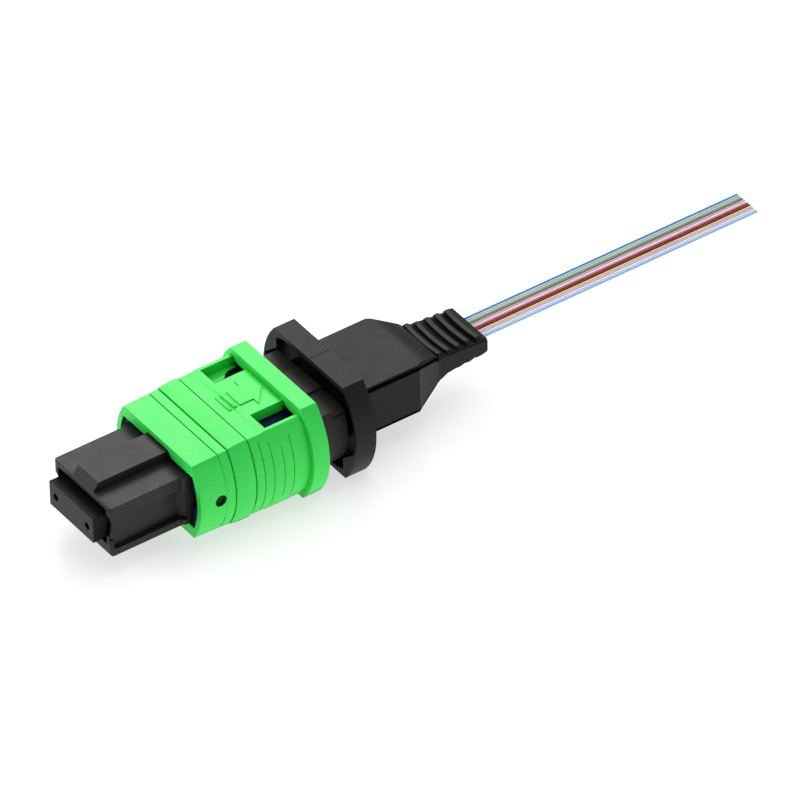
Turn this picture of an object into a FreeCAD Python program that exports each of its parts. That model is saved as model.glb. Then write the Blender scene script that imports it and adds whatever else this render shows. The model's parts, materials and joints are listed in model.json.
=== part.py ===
import FreeCAD, Part
import math
import os

# MPO plug, female, twelve fibres, with a push-pull coupling sleeve and a
# flanged boot for bare ribbon.  Millimetres.
# Frame: origin at the centre of the ferrule's mating face, +X rearward along
# the plug's axis (towards the ribbon), +Z up (the key side), +Y to the left of
# someone looking along +X.

# ------------------------------------------------------------------ sizes
# MT ferrule
FERRULE_W, FERRULE_H, FERRULE_L = 6.4, 2.5, 8.0
GUIDE_PITCH, GUIDE_D = 4.6, 0.70
SHOULDER_H = 3.1            # height of the ferrule's rear shoulder
SHOULDER_X = 5.40           # where that shoulder starts

# inner housing
HOUSE_X0 = 1.11             # front plane
MOUTH_TOP = 1.98            # top of the opening round the ferrule
HOUSE_W, HOUSE_TOP, HOUSE_BOT = 8.26, 2.40, -2.65
HOUSE_SHOULDER_X = 8.45     # where it widens inside the sleeve's mouth
HOUSE_SHOULDER_W = 8.90
HOUSE_REAR_X = 10.9
HOUSE_REAR_W, HOUSE_REAR_H = 7.90, 4.80
HOUSE_END_X = 20.40
KEY_W, KEY_TOP = 2.96, 3.20
KEY_FOOT_X, KEY_CREST_X, KEY_END_X = 1.25, 1.80, 11.40
CHANNEL_TOP, CHANNEL_BOT = 1.10, -2.00     # side latch channel
CHANNEL_D0, CHANNEL_D1 = 0.34, 0.62        # its depth at the front, at the rear
CHANNEL_X1 = 8.35                          # its rear end

# coupling sleeve (all lips and steps are X positions)
SLEEVE_X0, SLEEVE_X1 = 8.70, 21.07
FLANGE_X = 19.49
SLEEVE_WALL_LIP = 10.0
TRAVEL_SLEEVE = 1.60        # how far it can be pulled back
TRAVEL_FERRULE = 0.80       # how far the ferrule can be pushed in
WIN_X0, WIN_Y0, WIN_Y1 = 16.2, 2.57, 4.70  # the two windows, each side of the arrow
SHELF_Y, SHELF_Z = 3.55, 3.22              # thin shelf inside each window: where it ends, its top

# rear block and boot
PIN_NOTCH = 0.50                           # half side of the square notches in the pin holder, empty in a female plug
POCKET_X1 = 25.20                          # floor of the pocket in the boot flange's front face
PARTING_Y = -0.13                          # parting line across the boot flange
GRIP_LINES = ((15.0, 3.6, 4.945, 4.005, 1.348), (15.87, 3.34, 4.955, 4.10, 1.395),
              (16.9, 2.6, 4.965, 4.10, 1.395), (17.85, 3.2, 4.955, 4.10, 1.395))  # x, half-height, section inside the groove
BLOCK_X0, BLOCK_X1 = 20.50, 24.00
BOOT_X0, BOOT_FLANGE_X1 = 23.86, 25.90
BODY_HW, BODY_HH = 4.05, 2.50
TAPER_X0, CREASE_X, TAPER_X1 = 32.25, 32.60, 34.75
BOOT_END = 40.15

# ribbon
FIBRE_D, FIBRE_PITCH, FIBRE_N = 0.25, 0.255, 12
FIBRE_X0, FIBRE_X1 = 3.05, 68.81
FIBRES = ["blue", "orange", "green", "brown", "slate", "white",
          "red", "black", "yellow", "violet", "rose", "aqua"]

# springs: outer diameter, wire, first and last X
MAIN_SPRING = (3.90, 0.35, 9.43, 17.48, 8)
SIDE_SPRING = (1.30, 0.22, 11.63, 17.98, 9)
SIDE_SPRING_Y = 4.75

V = FreeCAD.Vector
os.makedirs("parts", exist_ok=True)


# ------------------------------------------------------------------ helpers
def box(x0, x1, y0, y1, z0, z1):
    return Part.makeBox(x1 - x0, y1 - y0, z1 - z0, V(x0, y0, z0))


def dwire(x, hw, hz, sag):
    """Closed outline at X=x: flat top and bottom, two outward-curved sides."""
    top = Part.makeLine(V(x, -hw, hz), V(x, hw, hz))
    left = Part.Arc(V(x, hw, hz), V(x, hw + sag, 0), V(x, hw, -hz)).toShape()
    bot = Part.makeLine(V(x, hw, -hz), V(x, -hw, -hz))
    right = Part.Arc(V(x, -hw, -hz), V(x, -hw - sag, 0), V(x, -hw, hz)).toShape()
    return Part.Wire([top, left, bot, right])


def dprism(x0, x1, hw, hz, sag):
    return Part.Face(dwire(x0, hw, hz, sag)).extrude(V(x1 - x0, 0, 0))


def dloft(x0, a, x1, b):
    """Straight-sided blend between two such outlines."""
    return Part.makeLoft([dwire(x0, *a), dwire(x1, *b)], True, True)


def rwire(x, hw, zt, zb, c=0.0):
    """Rectangular outline at X=x with small corner chamfers."""
    if c <= 0:
        pts = [V(x, -hw, zb), V(x, hw, zb), V(x, hw, zt), V(x, -hw, zt)]
    else:
        pts = [V(x, -hw + c, zb), V(x, hw - c, zb), V(x, hw, zb + c), V(x, hw, zt - c),
               V(x, hw - c, zt), V(x, -hw + c, zt), V(x, -hw, zt - c), V(x, -hw, zb + c)]
    return Part.makePolygon(pts + [pts[0]])


def prism_xz(pts, y0, y1):
    w = Part.makePolygon([V(x, y0, z) for x, z in pts] + [V(pts[0][0], y0, pts[0][1])])
    return Part.Face(w).extrude(V(0, y1 - y0, 0))


def prism_xy(pts, z0, z1):
    w = Part.makePolygon([V(x, y, z0) for x, y in pts] + [V(pts[0][0], pts[0][1], z0)])
    return Part.Face(w).extrude(V(0, 0, z1 - z0))


def prism_yz(pts, x0, x1):
    w = Part.makePolygon([V(x0, y, z) for y, z in pts] + [V(x0, pts[0][0], pts[0][1])])
    return Part.Face(w).extrude(V(x1 - x0, 0, 0))


def mirror_y(s):
    return s.mirror(V(0, 0, 0), V(0, 1, 0))


def mirror_z(s):
    return s.mirror(V(0, 0, 0), V(0, 0, 1))


def fuse(first, *rest):
    s = first.fuse(list(rest)) if rest else first
    return s.removeSplitter()


def fillet_at(shape, r, test):
    """Round the straight edges whose midpoint passes the test."""
    picked = [e for e in shape.Edges
              if test(e.CenterOfMass, e.tangentAt(e.FirstParameter))]
    return shape.makeFillet(r, picked) if picked else shape


def one(name, shape):
    solids = shape.Solids
    assert len(solids) == 1, (name, len(solids))
    s = solids[0]
    assert s.isValid(), name
    s.exportStep("parts/%s.step" % name)
    b = s.BoundBox
    print("%-22s %8.3f mm3  x %.2f..%.2f  y %.2f..%.2f  z %.2f..%.2f  faces %d"
          % (name, s.Volume, b.XMin, b.XMax, b.YMin, b.YMax, b.ZMin, b.ZMax, len(s.Faces)))
    return s


def coil(od, wire, x0, x1, turns, cy, cz):
    """Round-wire compression spring along X: a chain of tangent half turns, each a piece of a torus."""
    r = od / 2.0 - wire / 2.0
    pitch = (x1 - x0 - wire) / turns
    big = math.hypot(r, pitch / 4.0)
    tilt = math.degrees(math.asin(pitch / 4.0 / big))
    halves = []
    for k in range(2 * turns):
        h = Part.makeTorus(big, wire / 2.0, V(0, 0, 0), V(0, 0, 1), -180, 180, 180)
        h.rotate(V(0, 0, 0), V(0, 1, 0), tilt)
        h.rotate(V(0, 0, 0), V(0, 0, 1), 180.0 * (k % 2))
        h.translate(V(0, 0, pitch / 4.0 + k * pitch / 2.0))
        halves.append(h)
    s = halves[0].fuse(halves[1:])
    s.rotate(V(0, 0, 0), V(0, 1, 0), 90)
    s.translate(V(x0 + wire / 2.0, cy, cz))
    return s.Solids[0]


# ------------------------------------------------------------------ MT ferrule
hw, hh = FERRULE_W / 2.0, FERRULE_H / 2.0
ferrule = box(0, FERRULE_L, -hw, hw, -hh, hh)
ferrule = fillet_at(ferrule, 0.10, lambda c, t: abs(t.x) > 0.9)
ferrule = ferrule.fuse(box(SHOULDER_X, FERRULE_L, -hw, hw, -SHOULDER_H / 2, SHOULDER_H / 2)).removeSplitter()
for s in (-1, 1):
    ferrule = ferrule.cut(Part.makeCylinder(GUIDE_D / 2, FERRULE_L + 1, V(-0.5, s * GUIDE_PITCH / 2, 0), V(1, 0, 0)))
# cavity for the ribbon and the ferrule boot, and the glue window above it
ferrule = ferrule.cut(box(3.0, FERRULE_L + 1, -1.78, 1.78, -0.75, 0.75))
ferrule = ferrule.cut(box(3.0, 4.9, -1.78, 1.78, 0, 2.0))
one("mt_ferrule", ferrule)

# ------------------------------------------------------------------ ferrule boot
fboot = box(5.2, 9.35, -1.74, 1.74, -0.71, 0.71)
fboot = fillet_at(fboot, 0.25, lambda c, t: abs(t.x) > 0.9)
fboot = fboot.cut(box(5.0, 9.5, -1.56, 1.56, -0.16, 0.16))
one("ferrule_boot", fboot)

# ------------------------------------------------------------------ pin holder
pin_holder = box(FERRULE_L + 0.01, 9.40, -3.15, 3.15, -1.50, 1.50)
pin_holder = fillet_at(pin_holder, 0.3, lambda c, t: abs(t.x) > 0.9)
pin_holder = pin_holder.cut(box(7.9, 9.5, -1.80, 1.80, -0.78, 0.78))
for s in (-1, 1):
    pin_holder = pin_holder.cut(box(7.9, 9.1, s * GUIDE_PITCH / 2 - PIN_NOTCH, s * GUIDE_PITCH / 2 + PIN_NOTCH,
                                    -PIN_NOTCH, PIN_NOTCH))
    # slots that let each ear spring open round a pin
    pin_holder = pin_holder.cut(box(7.9, 9.1, s * GUIDE_PITCH / 2 - 0.1, s * GUIDE_PITCH / 2 + 0.1, 0, 1.6))
one("pin_holder", pin_holder)

# ------------------------------------------------------------------ springs
one("main_spring", coil(*MAIN_SPRING, 0, 0))
one("coupling_spring_left", coil(*SIDE_SPRING, SIDE_SPRING_Y, 0))
one("coupling_spring_right", coil(*SIDE_SPRING, -SIDE_SPRING_Y, 0))

# ------------------------------------------------------------------ inner housing
hw = HOUSE_W / 2.0
front = box(HOUSE_X0, HOUSE_SHOULDER_X, -hw, hw, HOUSE_BOT, HOUSE_TOP)
front = front.makeChamfer(0.10, [e for e in front.Edges if abs(e.CenterOfMass.x - HOUSE_X0) < 1e-6
                                 and abs(e.tangentAt(e.FirstParameter).y) > 0.9])
shoulder = box(HOUSE_SHOULDER_X - 0.4, HOUSE_REAR_X, -HOUSE_SHOULDER_W / 2, HOUSE_SHOULDER_W / 2, -2.50, HOUSE_TOP)
shoulder = fillet_at(shoulder, 0.38, lambda c, t: abs(t.z) > 0.9 and c.x < HOUSE_SHOULDER_X)
rear = box(HOUSE_REAR_X, HOUSE_END_X, -HOUSE_REAR_W / 2, HOUSE_REAR_W / 2, -HOUSE_REAR_H / 2, HOUSE_REAR_H / 2)
key = prism_xz([(KEY_FOOT_X, HOUSE_TOP - 0.2), (KEY_FOOT_X, HOUSE_TOP), (KEY_CREST_X, KEY_TOP),
                (KEY_END_X, KEY_TOP), (KEY_END_X, HOUSE_TOP - 0.2)], -KEY_W / 2, KEY_W / 2)
lugs = [box(9.60, 10.85, 4.30, 5.35, -0.70, 0.70), box(9.60, 10.85, -5.35, -4.30, -0.70, 0.70)]
front = fillet_at(front, 0.32, lambda c, t: c.x < HOUSE_X0 + 0.15 and abs(t.z) > 0.9)
housing = fuse(front, shoulder, rear, key, *lugs)
# side latch channels: shallow at the front, deeper towards the rear, with a rounded lower front corner
for s in (-1, 1):
    plan = prism_xy([(HOUSE_X0 - 0.5, s * (hw - CHANNEL_D0)), (CHANNEL_X1 - 0.45, s * (hw - CHANNEL_D1)),
                     (CHANNEL_X1 + 0.15, s * (hw + 0.05)), (CHANNEL_X1 + 0.15, s * 5.0), (HOUSE_X0 - 0.5, s * 5.0)],
                    CHANNEL_BOT - 0.5, CHANNEL_TOP + 0.5)
    side = box(HOUSE_X0 - 0.5, 9.0, -5, 5, -1.10, CHANNEL_TOP).fuse(box(1.72, 9.0, -5, 5, CHANNEL_BOT, -1.0))
    side = side.fuse(box(1.38, 2.0, -5, 5, -1.66, -1.0)).fuse(
        Part.makeCylinder(0.34, 10, V(1.72, -5, CHANNEL_BOT + 0.34), V(0, 1, 0)))
    housing = housing.cut(plan.common(side))
    # the thin side wall is cut back in a curve at the front
    cyl = Part.makeCylinder(2.3, 1.4, V(-0.84 if s < 0 else -1.02, 3.1 if s > 0 else -4.5, 0.25), V(0, 1, 0))
    housing = housing.cut(cyl.common(box(0, 3, -5, 5, -0.75, 1.52)))
# inside: mouth round the ferrule, guide, shoulder chamber, spring chamber
housing = housing.cut(box(0.5, 2.20, -3.50, 3.50, -1.65, MOUTH_TOP))
housing = housing.cut(box(2.0, SHOULDER_X - 0.03, -3.30, 3.30, -1.35, 1.35))
housing = housing.cut(box(SHOULDER_X - 0.03, 10.40, -3.30, 3.30, -1.68, 1.68))
housing = housing.cut(box(9.28, HOUSE_END_X + 1, -3.0, 3.0, -2.05, 2.05))
# catch windows for the rear block's two arms
housing = housing.cut(box(13.0, 14.6, -4.5, 4.5, -1.10, 1.10))
one("inner_housing", housing)

# ------------------------------------------------------------------ spring carrier
outer = dprism(8.95, 20.45, 4.95, 2.90, 0.45)
rails = [outer.common(box(8.95, 18.2, y0, y1, z0, z1))
         for y0, y1 in ((4.55, 5.6), (-5.6, -4.55)) for z0, z1 in ((0.85, 2.45), (-2.45, -0.85))]
collar = outer.common(box(18.0, 20.45, -6, 6, -3, 3))
collar = collar.cut(box(17, 21, -HOUSE_REAR_W / 2, HOUSE_REAR_W / 2, -HOUSE_REAR_H / 2, HOUSE_REAR_H / 2))
plates = []
for z0, z1 in ((2.40, 2.90), (-2.90, -2.40)):
    p = box(11.9, 18.3, -3.91, 3.91, z0, z1)
    ramp = prism_xy([(17.15, -3.91), (17.15, 3.91), (17.45, 4.35), (18.1, 4.60), (18.1, -4.60), (17.45, -4.35)], z0, z1)
    plates += [p, ramp]
carrier = fuse(collar, *rails, *plates)
one("spring_carrier", carrier)

# ------------------------------------------------------------------ spring push (rear block)
neck = box(17.50, BLOCK_X0 + 0.1, -2.95, 2.95, -2.00, 2.00)
block = dprism(BLOCK_X0, BLOCK_X1, 4.75, 2.60, 0.65)
block = fillet_at(block, 0.15, lambda c, t: abs(t.x) > 0.9)
rib = box(BLOCK_X0, BLOCK_X1, -1.73, 1.73, -2.80, 2.80)
arms, hooks = [], []
for s in (-1, 1):
    y = sorted((s * 2.20, s * 2.75))
    arms.append(box(12.5, 17.6, y[0], y[1], -0.95, 0.95))
    hooks.append(prism_xy([(13.05, s * 2.7), (14.45, s * 2.7), (14.45, s * 3.60), (13.9, s * 3.60)], -0.95, 0.95))
tail = Part.makeLoft([rwire(BLOCK_X1 - 0.1, 2.90, 1.45, -1.45), rwire(31.2, 2.90, 1.45, -1.45)], True, True)
tip = Part.makeLoft([rwire(31.2, 2.90, 1.45, -1.45), rwire(33.0, 2.35, 1.05, -1.05)], True, True)
rings = [box(x, x + 0.6, -3.05, 3.05, -1.60, 1.60) for x in (27.2, 29.2)]
collar_in = box(BLOCK_X1 - 0.05, POCKET_X1 - 0.01, -3.60, 3.60, -1.95, 1.95)
push = fuse(neck, block, rib, collar_in, tail, tip, *(arms + hooks + rings))
# fine groove along the upper and lower edges of the block's sides
for sy in (1, -1):
    for sz in (1, -1):
        y, z = sorted((sy * 4.78, sy * 5.6)), sorted((sz * 2.08, sz * 2.18))
        push = push.cut(box(BLOCK_X1 - 1.3, BLOCK_X1 + 0.01, y[0], y[1], z[0], z[1]))
push = push.cut(box(17.0, 33.5, -1.75, 1.75, -0.40, 0.40))
one("spring_push", push)

# ------------------------------------------------------------------ ribbon boot
flange = dprism(BOOT_X0, BOOT_FLANGE_X1, 4.99, 4.78, 1.77)
flange = fillet_at(flange, 0.12, lambda c, t: c.x > BOOT_X0 + 0.05 and abs(t.x) > 0.9)
C = 0.22
body = Part.makeLoft([rwire(BOOT_FLANGE_X1 - 0.2, BODY_HW, BODY_HH, -BODY_HH, C),
                      rwire(TAPER_X0, BODY_HW, BODY_HH, -BODY_HH, C)], True, True)
taper = Part.makeLoft([rwire(TAPER_X0, BODY_HW, BODY_HH, -BODY_HH, C),
                       rwire(CREASE_X, BODY_HW - 0.24, BODY_HH, -BODY_HH + 0.05, C),
                       rwire(TAPER_X1, 2.86, 1.50, -1.75, C),
                       rwire(35.25, 2.74, 1.02, -1.30, C)], True, True)
core = Part.makeLoft([rwire(35.25, 2.74, 1.02, -1.30, 0.1),
                      rwire(36.0, 2.69, 0.94, -0.98, 0.1),
                      rwire(BOOT_END, 2.57, 0.60, -0.60, 0.1)], True, True)
# five scale-like ribs: each steps up at its bowed front edge, has a narrow bowed crest and falls off behind it,
# and its ends are rounded over
ribs = []
RIB_FRONT = [34.98, 35.96, 36.98, 37.98, 39.00]
RIB_TOP = [1.36, 1.19, 1.16, 1.13, 1.08]
RIB_VALLEY = [1.02, 0.93, 0.84, 0.76, 0.68]
RIB_HW = [2.68, 2.58, 2.55, 2.51, 2.48]
RIB_CREST = 0.40
for i in range(5):
    xf, zt, w = RIB_FRONT[i], RIB_TOP[i], RIB_HW[i]
    last = i == 4
    xe = BOOT_END if last else RIB_FRONT[i + 1] + 0.02
    ze = 0.70 if last else RIB_VALLEY[i + 1] - 0.06
    bow = Part.makeCylinder(18.8, 4.0, V(xf + 18.8, 0, -1.0), V(0, 0, 1))
    fall = prism_xz([(xf - 0.3, 0.2), (xf - 0.3, zt - 0.07), (xf + 0.36, zt - 0.07), (xe, ze), (xe, 0.2)], -w, w)
    crest = box(xf - 0.3, xf + 0.9, -w, w, 0.3, zt).cut(Part.makeCylinder(18.8, 4.0, V(xf + RIB_CREST + 18.8, 0, -1.0), V(0, 0, 1)))
    slab = fall.common(bow).fuse(crest.common(bow)).removeSplitter()
    ends = [(w, 0.1), (w, zt - 0.34), (w - 0.05, zt - 0.20), (w - 0.14, zt - 0.08), (w - 0.27, zt - 0.01), (w - 0.38, zt)]
    slab = slab.common(prism_yz(ends + [(-y, z) for y, z in reversed(ends)], xf - 0.5, xe + 0.5))
    ribs += [slab, mirror_z(slab)]
boot = fuse(flange, body, taper, core, *ribs)
# moulded groove along the top and bottom edges of the sides
for sz in (1, -1):
    for sy in (1, -1):
        secs = []
        for x, w, z in ((26.15, BODY_HW, BODY_HH), (TAPER_X0, BODY_HW, BODY_HH), (TAPER_X1, 2.86, 1.50 if sz > 0 else 1.75),
                        (35.02, 2.80, 1.26 if sz > 0 else 1.50)):
            ya, yb = sorted((sy * (w - 0.36), sy * (w + 0.6)))
            za, zb = sorted((sz * (z - 0.46), sz * (z - 0.09)))
            pts = [V(x, ya, za), V(x, yb, za), V(x, yb, zb), V(x, ya, zb)]
            secs.append(Part.makePolygon(pts + [pts[0]]))
        boot = boot.cut(Part.makeLoft(secs, True, True))
# cored-out pocket in the flange's front face: a wide slot above and below, and a band down one side each,
# the same after half a turn about the plug's axis
pocket = box(BOOT_X0 - 1, POCKET_X1, -4.72, 4.72, -4.32, 4.32)
for s in (1, -1):
    pocket = pocket.cut(prism_yz([(s * 4.72, s * 3.90), (s * 4.73, s * 4.33), (s * 3.75, s * 4.33)], BOOT_X0 - 2, 26))
    pocket = pocket.fuse(prism_yz([(-s * 4.6, s * 4.4), (-s * 7.5, s * 4.4), (-s * 7.5, -s * 0.45), (-s * 4.6, -s * 2.96)],
                                  BOOT_X0 - 1, POCKET_X1))
pocket = pocket.common(dprism(BOOT_X0 - 1, POCKET_X1, 5.05, 4.32, 1.49))
boot = boot.cut(pocket)
boot = boot.cut(dprism(BOOT_X0 - 1, BLOCK_X1 + 0.02, 4.78, 2.64, 0.66))
boot = boot.cut(box(24.8, 31.2, -3.06, 3.06, -1.61, 1.61))
boot = boot.cut(Part.makeLoft([rwire(31.1, 3.06, 1.61, -1.61), rwire(33.1, 2.40, 1.10, -1.10)], True, True))
boot = boot.cut(box(33.0, BOOT_END + 1, -1.68, 1.68, -0.30, 0.30))
# parting line across the flange's top and bottom
for s in (1, -1):
    z = sorted((s * 4.74, s * 4.9))
    boot = boot.cut(box(BOOT_X0 - 1, BOOT_FLANGE_X1 + 0.01, PARTING_Y - 0.03, PARTING_Y + 0.03, z[0], z[1]))
one("ribbon_boot", boot)

# ------------------------------------------------------------------ coupling sleeve
A = (4.97, 3.78, 1.20)
segs = [dloft(SLEEVE_X0, A, 11.20, (4.99, 3.85, 1.21)),
        dprism(11.20, 11.30, 4.97, 3.77, 1.22),
        dloft(11.30, (4.99, 3.86, 1.22), 12.12, (5.00, 3.90, 1.24)),
        dprism(12.12, 12.24, 4.93, 3.80, 1.21),
        dloft(12.24, (5.02, 3.98, 1.26), 13.20, (5.04, 4.10, 1.30)),
        dloft(13.20, (5.04, 4.10, 1.30), 14.08, (5.04, 4.12, 1.32)),
        dprism(14.08, 14.24, 4.93, 3.90, 1.28),
        dloft(14.24, (5.00, 4.00, 1.34), 15.45, (5.02, 4.01, 1.36)),
        dloft(15.45, (5.02, 4.01, 1.36), 15.85, (5.02, 4.10, 1.40)),
        dprism(15.85, FLANGE_X + 0.1, 5.02, 4.10, 1.40)]
fl = dprism(FLANGE_X, SLEEVE_X1, 5.10, 4.72, 1.85)
fl = fillet_at(fl, 0.10, lambda c, t: abs(t.x) > 0.9)
sleeve = fuse(segs[0], *segs[1:], fl)
# shallow grip lines on the curved sides
for x, top, ihw, ihz, isag in GRIP_LINES:
    ring = dprism(x, x + 0.09, 6.0, 4.5, 1.5).cut(dprism(x - 0.1, x + 0.2, ihw, ihz, isag))
    sleeve = sleeve.cut(ring.common(box(x - 0.2, x + 0.3, -9, 9, -top, top)))
# inside: lip, main bore, wider rear bore
sleeve = sleeve.cut(dprism(SLEEVE_X0 - 1, SLEEVE_WALL_LIP, 5.05, 2.70, 0.56))
sleeve = sleeve.cut(dprism(SLEEVE_WALL_LIP, FLANGE_X, 5.10, 3.05, 0.52))
sleeve = sleeve.cut(dprism(FLANGE_X, SLEEVE_X1 + 1, 5.20, 3.60, 0.70))
# two inside lugs that push on the side springs
lug = [box(10.90, 11.60, 4.15, 5.75, -0.70, 0.70), box(10.90, 11.60, -5.75, -4.15, -0.70, 0.70)]
sleeve = fuse(sleeve, *lug)
# keyway
sleeve = sleeve.cut(prism_yz([(-1.95, 2.45), (-1.56, 3.28), (1.56, 3.28), (1.95, 2.45)], SLEEVE_X0 - 1, 11.9))
# windows, top and bottom
for s in (-1, 1):
    y = sorted((s * WIN_Y0, s * WIN_Y1))
    for z0, z1 in ((2.9, 4.3), (-4.3, -2.9)):
        shelf = box(WIN_X0 - 1, FLANGE_X + 1, -9, 9, z0, z1)
        if s * z0 > 0:
            # a thin shelf is left along the outer front of two of them, ending in a rounded step;
            # the same after half a turn about the plug's axis
            shelf = shelf.common(prism_xy([(x, s * y) for x, y in (
                (WIN_X0, WIN_Y0), (FLANGE_X, WIN_Y0), (FLANGE_X, SHELF_Y + 0.75), (18.80, SHELF_Y + 0.72),
                (18.53, SHELF_Y + 0.65), (18.27, SHELF_Y + 0.50), (18.07, SHELF_Y + 0.29), (17.93, SHELF_Y + 0.11),
                (17.76, SHELF_Y + 0.03), (17.55, SHELF_Y), (WIN_X0, SHELF_Y - 0.08))], -5.0, 5.0))
        sleeve = sleeve.cut(shelf.common(box(WIN_X0, FLANGE_X, y[0], y[1], -6, 6)))
        zs = (SHELF_Z, 4.3) if z0 > 0 else (-4.3, -SHELF_Z)
        sleeve = sleeve.cut(box(WIN_X0, FLANGE_X, y[0], y[1], *zs))
# dot recess on the right side
sleeve = sleeve.cut(Part.makeCylinder(0.55, 1.0, V(10.70, -5.76, 0), V(0, -1, 0)))
# raised arrow pointing rearward, with two bars behind it
arrow = prism_xy([(16.25, -1.05), (17.60, -1.05), (17.60, -1.80), (19.12, 0.0),
                  (17.60, 1.80), (17.60, 1.05), (16.25, 1.05)], 4.0, 4.20)
bars = [box(15.66, 15.98, -1.05, 1.05, 3.9, 4.18), box(15.16, 15.42, -1.05, 1.05, 3.9, 4.10)]
sleeve = fuse(sleeve, arrow, *bars)
one("coupling_sleeve", sleeve)

# ------------------------------------------------------------------ fibres
y0 = (FIBRE_N - 1) / 2.0 * FIBRE_PITCH
for i, colour in enumerate(FIBRES):
    f = Part.makeCylinder(FIBRE_D / 2, FIBRE_X1 - FIBRE_X0, V(FIBRE_X0, y0 - i * FIBRE_PITCH, 0), V(1, 0, 0))
    one("fibre_%02d_%s" % (i + 1, colour), f)
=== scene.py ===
import json
import math
import bpy
import bmesh
import numpy as np
from mathutils import Matrix, Vector

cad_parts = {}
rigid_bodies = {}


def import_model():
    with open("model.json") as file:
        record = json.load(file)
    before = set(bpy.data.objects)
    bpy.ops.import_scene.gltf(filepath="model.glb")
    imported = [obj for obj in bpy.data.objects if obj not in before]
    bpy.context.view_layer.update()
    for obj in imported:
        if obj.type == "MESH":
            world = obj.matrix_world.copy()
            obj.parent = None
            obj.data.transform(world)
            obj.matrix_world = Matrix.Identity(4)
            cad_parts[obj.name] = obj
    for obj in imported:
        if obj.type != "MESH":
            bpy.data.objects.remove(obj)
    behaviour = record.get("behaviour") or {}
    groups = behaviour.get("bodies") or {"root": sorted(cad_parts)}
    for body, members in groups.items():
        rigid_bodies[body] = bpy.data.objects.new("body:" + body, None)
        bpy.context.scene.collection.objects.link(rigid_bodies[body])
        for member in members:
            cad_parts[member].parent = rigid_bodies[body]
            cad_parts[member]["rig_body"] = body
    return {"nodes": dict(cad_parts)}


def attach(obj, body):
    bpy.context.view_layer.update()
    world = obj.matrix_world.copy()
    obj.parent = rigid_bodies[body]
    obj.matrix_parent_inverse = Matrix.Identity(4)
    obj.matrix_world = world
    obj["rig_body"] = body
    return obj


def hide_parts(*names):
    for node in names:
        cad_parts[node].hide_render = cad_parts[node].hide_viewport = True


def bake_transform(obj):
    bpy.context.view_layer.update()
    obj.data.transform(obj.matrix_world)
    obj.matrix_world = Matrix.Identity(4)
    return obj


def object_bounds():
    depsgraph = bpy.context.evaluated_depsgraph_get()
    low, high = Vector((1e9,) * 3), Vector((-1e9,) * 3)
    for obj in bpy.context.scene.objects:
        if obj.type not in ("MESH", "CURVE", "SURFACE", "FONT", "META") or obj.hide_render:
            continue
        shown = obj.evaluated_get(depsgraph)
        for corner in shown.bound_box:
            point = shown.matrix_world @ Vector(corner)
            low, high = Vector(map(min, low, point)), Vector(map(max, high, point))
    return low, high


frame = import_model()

CAD_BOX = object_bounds()
MM = 0.001
scene = bpy.context.scene
scene.view_settings.view_transform = "Standard"

# light levels: floor albedo and its own glow (a light table), sky, and three softboxes as
# direction, distance, size and power
FLOOR_A, FLOOR_E, WORLD = 0.35, 0.86, 0.10
KEY = (0.25, 0.05, 1.0), 1.2, 0.9, 5.0
SHEEN = (0.436, 0.643, 0.63), 1.2, 0.5, 6.0
FRONT = (-0.70, 0.62, 0.38), 1.2, 0.5, 6.5
FILL = (0.05, -1.0, 0.35), 1.2, 0.6, 1.3
NEAR = (0.040, 0.066, 0.060), 0.03, 0.012


# ------------------------------------------------------------------ camera
def camera():
    a, e, r = math.radians(-34.17), math.radians(39.04), math.radians(-1.48)
    fwd = Vector((-math.sin(a) * math.cos(e), math.cos(a) * math.cos(e), -math.sin(e)))
    right = Vector((math.cos(a), math.sin(a), 0))
    up = right.cross(fwd)
    right, up = right * math.cos(r) + up * math.sin(r), up * math.cos(r) - right * math.sin(r)
    at = right * 0.02701 + up * 0.00919 - fwd * 1.156
    data = bpy.data.cameras.new("camera")
    data.sensor_width = 36.0
    data.lens = 36.0 * 14064.0 / 800.0
    data.clip_start, data.clip_end = 0.1, 50.0
    cam = bpy.data.objects.new("camera", data)
    scene.collection.objects.link(cam)
    m = Matrix.Identity(4)
    for i, v in enumerate((right, up, -fwd)):
        m[0][i], m[1][i], m[2][i] = v
    m.translation = at
    cam.matrix_world = m
    scene.camera = cam


camera()


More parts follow.
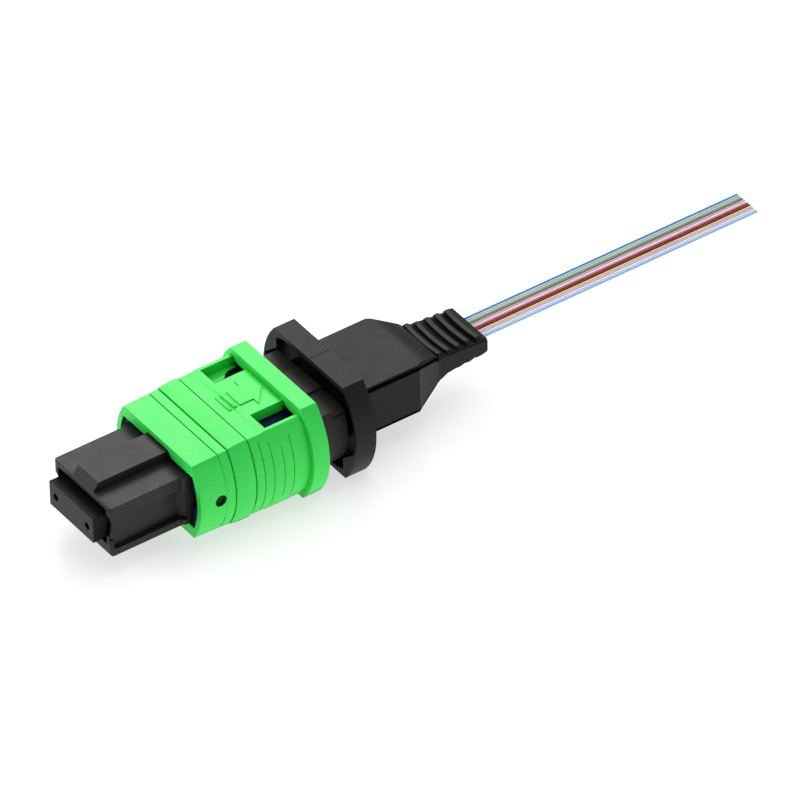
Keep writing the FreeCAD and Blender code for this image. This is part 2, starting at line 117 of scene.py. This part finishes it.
# ------------------------------------------------------------------ materials
class Nodes:
    def __init__(self, name):
        self.mat = bpy.data.materials.new(name)
        self.mat.use_nodes = True
        self.t = self.mat.node_tree
        self.bsdf = self.t.nodes["Principled BSDF"]
        self.co = self.t.nodes.new("ShaderNodeTexCoord").outputs["Object"]

    def new(self, kind, **props):
        n = self.t.nodes.new(kind)
        for k, v in props.items():
            setattr(n, k, v)
        return n

    def link(self, a, b):
        self.t.links.new(a, b)

    def noise(self, scale, detail=2.0, rough=0.5, co=None, distort=0.0):
        n = self.new("ShaderNodeTexNoise")
        n.inputs["Scale"].default_value = scale
        n.inputs["Detail"].default_value = detail
        n.inputs["Roughness"].default_value = rough
        n.inputs["Distortion"].default_value = distort
        self.link(co or self.co, n.inputs["Vector"])
        return n.outputs["Fac"]

    def ramp(self, fac, stops):
        n = self.new("ShaderNodeValToRGB")
        e = n.color_ramp.elements
        while len(e) < len(stops):
            e.new(0.5)
        for el, (pos, col) in zip(e, stops):
            el.position = pos
            el.color = (*col, 1) if len(col) == 3 else col
        self.link(fac, n.inputs["Fac"])
        return n.outputs["Color"]

    def map(self, fac, lo, hi, a=0.0, b=1.0):
        n = self.new("ShaderNodeMapRange")
        n.inputs["From Min"].default_value, n.inputs["From Max"].default_value = a, b
        n.inputs["To Min"].default_value, n.inputs["To Max"].default_value = lo, hi
        self.link(fac, n.inputs["Value"])
        return n.outputs["Result"]

    def mix(self, fac, a, b, mode="MIX"):
        n = self.new("ShaderNodeMix", data_type="RGBA", blend_type=mode)
        for sock, v in ((n.inputs["Factor"], fac), (n.inputs[6], a), (n.inputs[7], b)):
            if isinstance(v, (int, float)):
                sock.default_value = v
            elif isinstance(v, tuple):
                sock.default_value = (*v, 1)
            else:
                self.link(v, sock)
        return n.outputs[2]

    def bump(self, height, strength, distance, normal=None):
        n = self.new("ShaderNodeBump")
        n.inputs["Strength"].default_value = strength
        n.inputs["Distance"].default_value = distance
        self.link(height, n.inputs["Height"])
        if normal is not None:
            self.link(normal, n.inputs["Normal"])
        return n.outputs["Normal"]


def moulded(name, col, spread, rough, grain, spec, edge=0.05, ior=1.46, edge_highlight=0.10, marks=(), reach=1.2, deep=(0.22, 0.22, 0.22)):
    """Injection-moulded plastic: faint flow clouding in the colour, uneven gloss, fine spark-eroded grain, softened
    edges made a little paler by a painted highlight, and painted shade that darkens the colour in
    grooves and slots.  marks are (kind, where, colour) areas with another colour."""
    n = Nodes(name)
    cloud = n.noise(260.0, 3.0, 0.55)
    fine = n.noise(9000.0, 2.0, 0.6)
    lo = tuple(max(0.0, c * (1 - spread)) for c in col)
    hi = tuple(min(1.0, c * (1 + spread)) for c in col)
    base = n.ramp(cloud, [(0.3, lo), (0.7, hi)])
    speck = n.map(fine, 0.95, 1.04, 0.25, 0.75)
    base = n.mix(1.0, base, speck, "MULTIPLY")
    # paler colour where the bevel normal leaves the face normal: a painted highlight along the edges
    bev = n.new("ShaderNodeBevel", samples=4)
    bev.inputs["Radius"].default_value = edge * MM
    geo = n.new("ShaderNodeNewGeometry")
    dot = n.new("ShaderNodeVectorMath", operation="DOT_PRODUCT")
    n.link(bev.outputs["Normal"], dot.inputs[0])
    n.link(geo.outputs["Normal"], dot.inputs[1])
    highlight_mask = n.map(dot.outputs["Value"], edge_highlight, 0.0, 0.80, 0.995)
    highlight_col = tuple(min(1.0, c * 1.25 + 0.02) for c in col)
    base = n.mix(highlight_mask, base, highlight_col)
    # ambient occlusion multiplies the colour down in grooves, slots and gaps: painted shade, tinted by deep
    ao = n.new("ShaderNodeAmbientOcclusion", samples=6, only_local=False)
    ao.inputs["Distance"].default_value = reach * MM
    shade = n.ramp(ao.outputs["AO"], [(0.22, deep), (0.85, (1.0, 1.0, 1.0))])
    base = n.mix(1.0, base, shade, "MULTIPLY")
    patch = n.noise(700.0, 3.0, 0.6)
    r1 = n.map(patch, rough - 0.025, rough + 0.025, 0.3, 0.7)
    for kind, where, tint, r in marks:
        if kind == "round":
            far = n.new("ShaderNodeVectorMath", operation="DISTANCE")
            far.inputs[1].default_value = where[:3]
            n.link(n.co, far.inputs[0])
            mask = n.map(far.outputs["Value"], 1.0, 0.0, where[3], where[3] + 0.02 * MM)
        else:
            sep = n.new("ShaderNodeSeparateXYZ")
            n.link(n.co, sep.inputs[0])
            mask = n.map(sep.outputs["XYZ".index(kind)], 1.0, 0.0, where[0], where[1])
        spots = n.ramp(fine, [(0.3, tuple(c * 0.88 for c in tint)), (0.7, tint)])
        base = n.mix(mask, base, spots)
        m = n.new("ShaderNodeMix", data_type="FLOAT")
        n.link(mask, m.inputs[0])
        n.link(r1, m.inputs[2])
        m.inputs[3].default_value = r
        r1 = m.outputs[0]
    n.link(base, n.bsdf.inputs["Base Color"])
    n.link(r1, n.bsdf.inputs["Roughness"])
    n.bsdf.inputs["Specular IOR Level"].default_value = spec
    n.bsdf.inputs["IOR"].default_value = ior
    g = n.bump(fine, grain, 0.004 * MM, bev.outputs["Normal"])
    n.link(g, n.bsdf.inputs["Normal"])
    return n.mat


def steel(name, stretch, col=(0.52, 0.51, 0.49), rough=0.3):
    """Drawn or rolled stainless steel: fine lines along the work, small stains."""
    n = Nodes(name)
    mp = n.new("ShaderNodeMapping")
    mp.inputs["Scale"].default_value = stretch
    n.link(n.co, mp.inputs["Vector"])
    lines = n.noise(3000.0, 3.0, 0.6, mp.outputs["Vector"])
    stain = n.noise(900.0, 2.0, 0.5)
    base = n.ramp(lines, [(0.3, tuple(c * 0.75 for c in col)), (0.7, col)])
    base = n.mix(n.map(stain, 0.0, 0.35, 0.45, 0.75), base, tuple(c * 0.6 for c in col))
    n.link(base, n.bsdf.inputs["Base Color"])
    n.bsdf.inputs["Metallic"].default_value = 1.0
    n.link(n.map(lines, rough - 0.08, rough + 0.12), n.bsdf.inputs["Roughness"])
    n.link(n.bump(lines, 0.3, 0.003 * MM), n.bsdf.inputs["Normal"])
    return n.mat


def coat(name, col):
    """Ultraviolet-cured fibre coating: even ink, glossy, with faint unevenness along the fibre."""
    n = Nodes(name)
    mp = n.new("ShaderNodeMapping")
    mp.inputs["Scale"].default_value = (0.12, 1.0, 1.0)
    n.link(n.co, mp.inputs["Vector"])
    run = n.noise(2600.0, 3.0, 0.55, mp.outputs["Vector"])
    fine = n.noise(12000.0, 2.0, 0.5)
    base = n.ramp(run, [(0.3, tuple(min(0.96, c * 1.12) for c in col)), (0.7, tuple(min(1.0, c * 1.25) for c in col))])
    n.link(base, n.bsdf.inputs["Base Color"])
    n.link(n.map(run, 0.26, 0.38), n.bsdf.inputs["Roughness"])
    n.bsdf.inputs["Specular IOR Level"].default_value = 0.30
    n.bsdf.inputs["Coat Weight"].default_value = 0.10
    n.bsdf.inputs["Coat Roughness"].default_value = 0.15
    n.link(n.bump(fine, 0.15, 0.002 * MM), n.bsdf.inputs["Normal"])
    return n.mat


MATS = {
    # the round mark darkens the sleeve's dot recess: painted shade; deep gives the sleeve's painted shade a green tint
    "coupling_sleeve": moulded("sleeve_green", (0.058, 0.96, 0.132), 0.02, 0.42, 0.30, 0.28, 0.035,
                               marks=[("round", (10.70 * MM, -5.90 * MM, 0, 0.60 * MM), (0.014, 0.11, 0.02), 0.6)], reach=1.6, deep=(0.25, 0.52, 0.28)),
    "inner_housing": moulded("housing_black", (0.042, 0.040, 0.041), 0.04, 0.40, 0.5, 0.11, 0.025),
    "mt_ferrule": moulded("ferrule_black", (0.014, 0.013, 0.014), 0.10, 0.55, 0.7, 0.10, 0.02,
                          marks=[("X", (0.02 * MM, 0.05 * MM), (0.036, 0.035, 0.0355), 0.42)]),
    "spring_push": moulded("block_black", (0.046, 0.039, 0.037), 0.10, 0.42, 0.5, 0.14, 0.025),
    "ribbon_boot": moulded("boot_black", (0.023, 0.022, 0.0225), 0.04, 0.40, 0.5, 0.10, 0.025,
                           reach=1.7, deep=(0.10, 0.10, 0.10)),
    "spring_carrier": moulded("carrier_navy", (0.012, 0.018, 0.110), 0.10, 0.40, 0.5, 0.2, 0.025, deep=(0.35, 0.35, 0.35)),
    "ferrule_boot": moulded("inner_rubber", (0.02, 0.02, 0.021), 0.15, 0.75, 0.9, 0.25, 0.03),
    "pin_holder": steel("clamp_steel", (0.05, 1.0, 1.0)),
}


def detail(node, name, width, angle=32.0, segments=2, fine=0.004):
    src = frame["nodes"][node]
    me = src.data.copy()
    me.materials.clear()
    bm = bmesh.new()
    bm.from_mesh(me)
    bmesh.ops.remove_doubles(bm, verts=bm.verts, dist=0.0008 * MM)
    bmesh.ops.dissolve_degenerate(bm, edges=bm.edges, dist=0.0008 * MM)
    bmesh.ops.dissolve_limit(bm, angle_limit=fine, verts=bm.verts, edges=bm.edges)
    bmesh.ops.recalc_face_normals(bm, faces=bm.faces)
    bm.to_mesh(me)
    bm.free()
    if "custom_normal" in me.attributes:
        me.attributes.remove(me.attributes["custom_normal"])
    me.shade_smooth()
    ob = bpy.data.objects.new(name, me)
    scene.collection.objects.link(ob)
    b = ob.modifiers.new("b", "BEVEL")
    b.limit_method, b.angle_limit = "ANGLE", math.radians(angle)
    b.width, b.segments, b.use_clamp_overlap = width * MM, segments, True
    b.miter_outer = "MITER_SHARP"
    w = ob.modifiers.new("w", "WEIGHTED_NORMAL")
    w.mode, w.weight, w.keep_sharp = "FACE_AREA", 60 if node == "ribbon_boot" else 80, False
    dg = bpy.context.evaluated_depsgraph_get()
    out = bpy.data.meshes.new_from_object(ob.evaluated_get(dg))
    ob.modifiers.clear()
    ob.data = out
    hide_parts(node)
    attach(ob, src["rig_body"])
    ob.data.materials.append(MATS[node])
    return ob


WIDTH = {"coupling_sleeve": 0.05, "inner_housing": 0.03, "mt_ferrule": 0.025, "spring_push": 0.035, "ribbon_boot": 0.035,
         "spring_carrier": 0.03, "pin_holder": 0.03, "ferrule_boot": 0.03}
for node, w in WIDTH.items():
    detail(node, node.replace("_", "-") + "-moulding", w)


# ------------------------------------------------------------------ swept pieces
def sweep(name, rings, mats=None, caps=True):
    """A closed tube through rings of points; returns the object.  mats (face material index by ring, last for caps) is
    not used.
    """
    verts, faces, idx = [], [], []
    k = len(rings[0])
    for r in rings:
        verts += [tuple(p) for p in r]
    for i in range(len(rings) - 1):
        for j in range(k):
            a0, a1 = i * k + j, i * k + (j + 1) % k
            faces.append((a0, a1, a1 + k, a0 + k))
    if caps:
        faces.append(tuple(range(k - 1, -1, -1)))
        faces.append(tuple(range((len(rings) - 1) * k, len(rings) * k)))
    me = bpy.data.meshes.new(name)
    me.from_pydata(verts, [], faces)
    bm = bmesh.new()
    bm.from_mesh(me)
    bmesh.ops.recalc_face_normals(bm, faces=bm.faces)
    bm.to_mesh(me)
    bm.free()
    me.shade_smooth()
    me.set_sharp_from_angle(angle=math.radians(40))
    ob = bpy.data.objects.new(name, me)
    scene.collection.objects.link(ob)
    return ob


# ------------------------------------------------------------------ ribbon: a straight route, read from its spline
ROUTE = [(33.0, 0, 0), (40.15, 0, 0), (54.5, 0, 0), (68.81, 0, 0)]
cu = bpy.data.curves.new("route", "CURVE")
cu.dimensions = "3D"
sp = cu.splines.new("NURBS")
sp.points.add(len(ROUTE) - 1)
for p, c in zip(sp.points, ROUTE):
    p.co = (c[0] * MM, c[1] * MM, c[2] * MM, 1)
sp.order_u = 3
sp.use_endpoint_u = True
sp.resolution_u = 12
cob = bpy.data.objects.new("route", cu)
scene.collection.objects.link(cob)
bpy.context.view_layer.update()
line = [v.co.copy() for v in bpy.data.meshes.new_from_object(cob.evaluated_get(bpy.context.evaluated_depsgraph_get())).vertices]
bpy.data.objects.remove(cob)

INK = [("fibre_01_blue", (0.002, 0.28, 0.80)), ("fibre_02_orange", (0.78, 0.52, 0.40)), ("fibre_03_green", (0.19, 0.78, 0.60)),
       ("fibre_04_brown", (0.36, 0.10, 0.07)), ("fibre_05_slate", (0.46, 0.46, 0.56)), ("fibre_06_white", (0.88, 0.86, 0.92)),
       ("fibre_07_red", (0.60, 0.006, 0.070)), ("fibre_08_black", (0.020, 0.005, 0.010)), ("fibre_09_yellow", (0.98, 0.66, 0.16)),
       ("fibre_10_violet", (0.66, 0.42, 0.86)), ("fibre_11_rose", (0.92, 0.86, 0.95)), ("fibre_12_aqua", (0.38, 0.62, 0.95))]
for i, (node, ink) in enumerate(INK):
    y = (5.5 - i) * 0.255 * MM
    r = 0.1270 * MM
    pts = [Vector((3.05 * MM, 0, 0)), Vector((18.0 * MM, 0, 0))] + line
    rings = []
    for n_, p in enumerate(pts):
        last = n_ == len(pts) - 1
        for dx, k in (((-0.02, 1.0), (0.0, 0.80)) if last else ((0.0, 1.0),)):
            rings.append([(p.x + dx * MM, p.y + y + r * k * math.cos(t), p.z + r * k * math.sin(t))
                          for t in (2 * math.pi * m / 28 for m in range(28))])
    ob = sweep(node.replace("_", "-") + "-coated", rings)
    ob.data.materials.append(coat("coat_" + node, ink))
    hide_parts(node)
    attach(ob, "ferrule")

film = []
for p in line:
    ring = []
    for t in (2 * math.pi * m / 32 for m in range(32)):
        c, s = math.cos(t), math.sin(t)
        ring.append((p.x, p.y + 1.512 * MM * math.copysign(abs(c) ** 0.18, c), p.z + 0.045 * MM * math.copysign(abs(s) ** 0.6, s)))
    film.append(ring)
film = sweep("ribbon-bond", film)
nb = Nodes("bond_acrylate")
haze = nb.noise(3500.0, 3.0, 0.6)
nb.link(nb.ramp(haze, [(0.3, (0.66, 0.64, 0.67)), (0.7, (0.84, 0.82, 0.86))]), nb.bsdf.inputs["Base Color"])
nb.link(nb.map(haze, 0.25, 0.45), nb.bsdf.inputs["Roughness"])
film.data.materials.append(nb.mat)
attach(film, "ferrule")


# ------------------------------------------------------------------ springs, as real helices
def helix(node, od, wire, x0, x1, turns, cy):
    r, w = (od - wire) / 2, wire / 2
    steps = turns * 40
    rings = []
    pitch = (x1 - x0 - wire) / turns
    for k in range(steps + 1):
        t = 2 * math.pi * k / 40
        u = k / steps
        x = x0 + w + (x1 - x0 - wire) * u
        c = Vector((x, cy + r * math.sin(t), r * math.cos(t)))
        radial = Vector((0, math.sin(t), math.cos(t)))
        tang = Vector((pitch / (2 * math.pi), r * math.cos(t), -r * math.sin(t))).normalized()
        side = tang.cross(radial)
        rings.append([(c + (radial * math.cos(q) + side * math.sin(q)) * w) * MM for q in (2 * math.pi * m / 14 for m in range(14))])
    ob = sweep(node.replace("_", "-") + "-wire", rings)
    ob.data.materials.append(steel("wire_" + node, (1.0, 1.0, 1.0), (0.55, 0.54, 0.53), 0.26))
    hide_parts(node)
    return ob


m = helix("main_spring", 3.90, 0.35, 9.43, 17.48, 8, 0)
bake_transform(m)
for node, y in (("coupling_spring_left", 4.75), ("coupling_spring_right", -4.75)):
    m = helix(node, 1.30, 0.22, 11.63, 17.98, 9, y)
    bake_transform(m)

# ------------------------------------------------------------------ floor and light
Z0 = CAD_BOX[0][2]
fl = bpy.data.meshes.new("floor")
fl.from_pydata([(-4, -4, Z0), (4, -4, Z0), (4, 4, Z0), (-4, 4, Z0)], [], [(0, 1, 2, 3)])
floor = bpy.data.objects.new("floor", fl)
scene.collection.objects.link(floor)
fn = Nodes("floor")
c = fn.ramp(fn.noise(3.0, 2.0), [(0.3, (FLOOR_A - 0.01,) * 3), (0.7, (FLOOR_A + 0.01,) * 3)])
fn.link(c, fn.bsdf.inputs["Base Color"])
fn.bsdf.inputs["Roughness"].default_value = 0.9
fn.bsdf.inputs["Specular IOR Level"].default_value = 0.0
# the floor's glow dims by ambient occlusion near the part: a painted contact shadow
near = fn.new("ShaderNodeAmbientOcclusion", samples=12, only_local=False)
near.inputs["Distance"].default_value = 6.5 * MM
fn.link(fn.ramp(near.outputs["AO"], [(0.35, (0.75,) * 3), (0.97, (1.0, 1.0, 1.0))]), fn.bsdf.inputs["Emission Color"])
fn.bsdf.inputs["Emission Strength"].default_value = FLOOR_E
fl.materials.append(fn.mat)

world = bpy.data.worlds.new("studio")
scene.world = world
world.use_nodes = True
world.node_tree.nodes["Background"].inputs[0].default_value = (1, 1, 1, 1)
world.node_tree.nodes["Background"].inputs[1].default_value = WORLD


def softbox(name, toward, dist, size, power):
    d = bpy.data.lights.new(name, "AREA")
    d.shape, d.size, d.energy = "SQUARE", size, power
    o = bpy.data.objects.new(name, d)
    scene.collection.objects.link(o)
    v = Vector(toward).normalized()
    aim = Vector((0.025, 0, 0))
    o.location = aim + v * dist
    o.rotation_euler = (-v).to_track_quat("-Z", "Y").to_euler()
    return o


softbox("key", *KEY)
softbox("sheen", *SHEEN)
softbox("front", *FRONT)
softbox("fill", *FILL)
near = softbox("near", (0, 0, 1), 1.0, NEAR[1], NEAR[2])
near.location = NEAR[0]
near.rotation_euler = (Vector((0.022, 0, 0)) - Vector(NEAR[0])).to_track_quat("-Z", "Y").to_euler()
